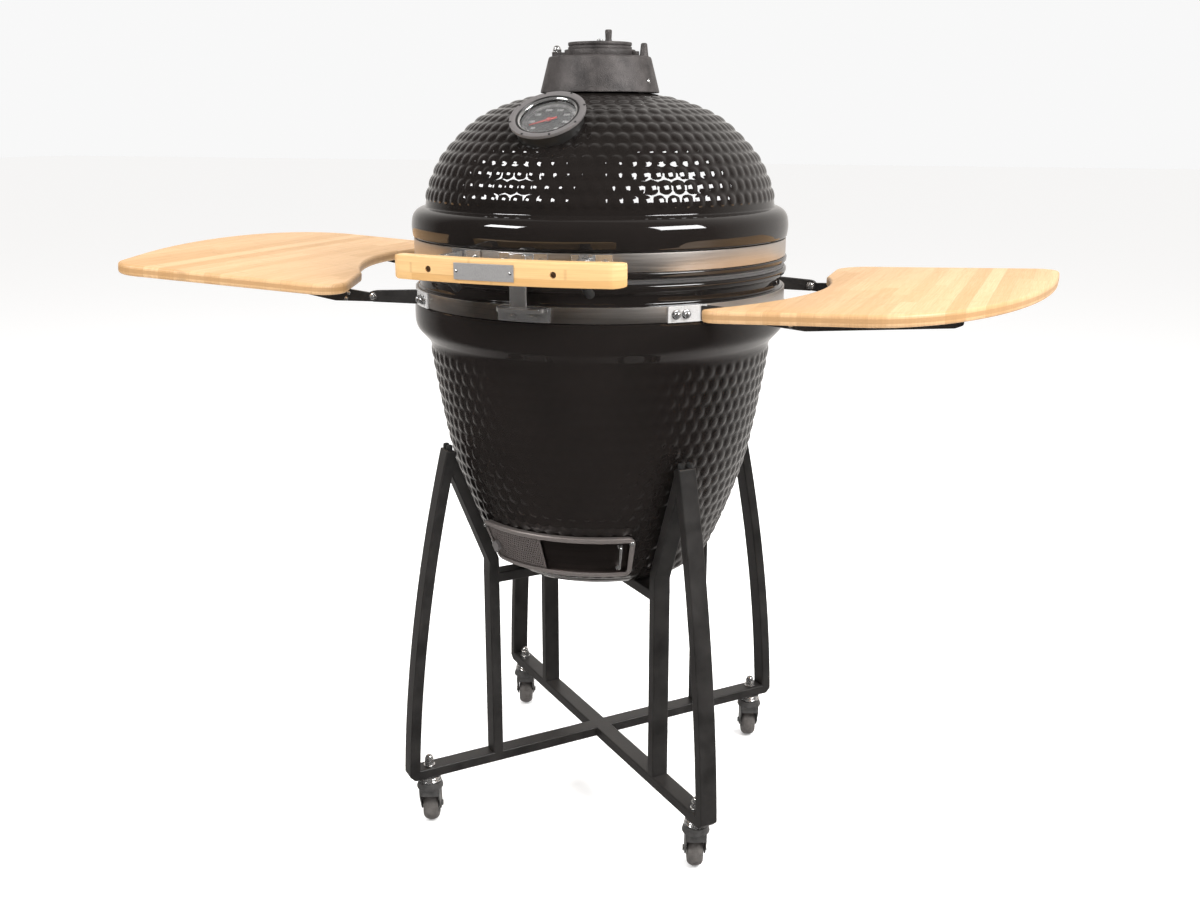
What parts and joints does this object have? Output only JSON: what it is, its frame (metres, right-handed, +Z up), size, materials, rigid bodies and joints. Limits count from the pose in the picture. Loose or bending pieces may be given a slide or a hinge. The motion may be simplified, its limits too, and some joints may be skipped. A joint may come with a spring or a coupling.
{
  "type": "kamado ceramic grill",
  "caption": "Egg-shaped ceramic charcoal grill with hinged lid, dome thermometer, top vent, sliding draft door and folding side shelves on a caster cart.",
  "frame": {"origin": "on the ceramic body's vertical axis, at the floor", "axes": "+Z up, -Y towards the handle and the draft door, +X towards the right-hand shelf as seen from the front"},
  "size_m": [1.2865, 0.6994, 1.1524],
  "materials": {
    "glaze": "high-gloss near-black glaze with raised round bumps",
    "fired_clay": "unglazed refractory clay",
    "felt": "dense black felt rope",
    "brushed_steel": "fine horizontal brush lines",
    "chrome": "bright plated",
    "cast_iron": "rough cast, dark grey coated",
    "bamboo": "laminated bamboo, satin oil",
    "black_coat": "satin black powder coat",
    "rubber": "matt dark grey",
    "dial_black": "matt black printed dial",
    "needle_red": "satin red",
    "glass": "clear",
    "grey_alloy": "dull grey metal",
    "dark_steel": "dark stained steel"
  },
  "bodies": {
    "base": {"base_shell": "glaze", "firebox": "fired_clay", "fire_ring": "fired_clay", "charcoal_grate": "cast_iron", "cooking_grid": "chrome", "base_gasket": "felt", "base_band": "brushed_steel", "hinge_lower_bracket": "brushed_steel", "hinge_pin": "chrome", "hinge_spring_left": "chrome", "hinge_spring_right": "chrome", "closure_receiver": "chrome", "draft_frame": "brushed_steel", "shelf_mount_left_front": "chrome", "shelf_mount_left_rear": "chrome", "shelf_mount_right_front": "chrome", "shelf_mount_right_rear": "chrome", "cart_frame_left": "black_coat", "cart_frame_right": "black_coat", "caster_stem_front_left": "chrome", "caster_stem_front_right": "chrome", "caster_stem_rear_left": "chrome", "caster_stem_rear_right": "chrome"},
    "lid": {"lid_shell": "glaze", "lid_gasket": "felt", "lid_band": "brushed_steel", "hinge_upper_bracket": "brushed_steel", "handle_grip": "bamboo", "handle_plate": "brushed_steel", "handle_bracket_left": "chrome", "handle_bracket_right": "chrome", "closure_post": "chrome", "gauge_case": "grey_alloy", "gauge_dial": "dial_black", "gauge_glass": "glass", "vent_cap": "cast_iron", "vent_pivot_nut": "chrome"},
    "vent_slide": {"vent_slide_plate": "cast_iron"},
    "vent_wheel": {"daisy_wheel": "cast_iron"},
    "needle": {"gauge_needle": "needle_red"},
    "draft_screen_slide": {"draft_screen": "dark_steel"},
    "draft_door_slide": {"draft_door": "dark_steel"},
    "shelf_right": {"shelf_board_right": "bamboo", "shelf_arm_right_front": "black_coat", "shelf_arm_right_rear": "black_coat"},
    "shelf_left": {"shelf_board_left": "bamboo", "shelf_arm_left_front": "black_coat", "shelf_arm_left_rear": "black_coat"},
    "caster_front_left": {"caster_fork_front_left": "grey_alloy"},
    "wheel_front_left": {"caster_wheel_front_left": "rubber"},
    "caster_front_right": {"caster_fork_front_right": "grey_alloy"},
    "wheel_front_right": {"caster_wheel_front_right": "rubber"},
    "caster_rear_left": {"caster_fork_rear_left": "grey_alloy"},
    "wheel_rear_left": {"caster_wheel_rear_left": "rubber"},
    "caster_rear_right": {"caster_fork_rear_right": "grey_alloy"},
    "wheel_rear_right": {"caster_wheel_rear_right": "rubber"}
  },
  "joints": [
    {"name": "lid_hinge", "type": "hinge", "parent": "base", "child": "lid", "pos_m": [0, 0.3135, 0.8365], "axis": [-1, 0, 0], "range_deg": [0, 75], "stiffness_Nm_per_rad": 80, "springref_deg": 63.03},
    {"name": "vent_slide_swing", "type": "hinge", "parent": "lid", "child": "vent_slide", "pos_m": [-0.065, 0, 1.1186], "axis": [0, 0, -1], "range_deg": [0, 95]},
    {"name": "vent_wheel_turn", "type": "hinge", "parent": "vent_slide", "child": "vent_wheel", "pos_m": [0, 0, 1.1274], "axis": [0, 0, 1], "range_deg": [-36, 0]},
    {"name": "gauge_needle_turn", "type": "hinge", "parent": "lid", "child": "needle", "pos_m": [0, -0.187, 1.041], "axis": [0, -0.5592, 0.829], "range_deg": [-200, 60]},
    {"name": "draft_door_slide_turn", "type": "hinge", "parent": "base", "child": "draft_door_slide", "pos_m": [0, 0, 0.4445], "axis": [0, 0, -1], "range_deg": [0, 20]},
    {"name": "draft_screen_slide_turn", "type": "hinge", "parent": "base", "child": "draft_screen_slide", "pos_m": [0, 0, 0.4445], "axis": [0, 0, 1], "range_deg": [0, 10]},
    {"name": "shelf_right_fold", "type": "hinge", "parent": "base", "child": "shelf_right", "pos_m": [0.276, 0, 0.792], "axis": [0, 1, 0], "range_deg": [0, 90]},
    {"name": "shelf_left_fold", "type": "hinge", "parent": "base", "child": "shelf_left", "pos_m": [-0.276, 0, 0.792], "axis": [0, -1, 0], "range_deg": [0, 90]},
    {"name": "caster_swivel_front_left", "type": "hinge", "parent": "base", "child": "caster_front_left", "pos_m": [-0.19026, -0.21887, 0.066], "axis": [0, 0, 1], "continuous": true},
    {"name": "wheel_spin_front_left", "type": "hinge", "parent": "caster_front_left", "child": "wheel_front_left", "pos_m": [-0.19527, -0.2058, 0.025], "axis": [-0.9336, -0.3584, 0], "continuous": true},
    {"name": "caster_swivel_front_right", "type": "hinge", "parent": "base", "child": "caster_front_right", "pos_m": [0.21887, -0.19026, 0.066], "axis": [0, 0, 1], "continuous": true},
    {"name": "wheel_spin_front_right", "type": "hinge", "parent": "caster_front_right", "child": "wheel_front_right", "pos_m": [0.21385, -0.17719, 0.025], "axis": [-0.9336, -0.3584, 0], "continuous": true},
    {"name": "caster_swivel_rear_left", "type": "hinge", "parent": "base", "child": "caster_rear_left", "pos_m": [-0.21887, 0.19026, 0.066], "axis": [0, 0, 1], "continuous": true},
    {"name": "wheel_spin_rear_left", "type": "hinge", "parent": "caster_rear_left", "child": "wheel_rear_left", "pos_m": [-0.22388, 0.20333, 0.025], "axis": [-0.9336, -0.3584, 0], "continuous": true},
    {"name": "caster_swivel_rear_right", "type": "hinge", "parent": "base", "child": "caster_rear_right", "pos_m": [0.19026, 0.21887, 0.066], "axis": [0, 0, 1], "continuous": true},
    {"name": "wheel_spin_rear_right", "type": "hinge", "parent": "caster_rear_right", "child": "wheel_rear_right", "pos_m": [0.18524, 0.23194, 0.025], "axis": [-0.9336, -0.3584, 0], "continuous": true}
  ]
}
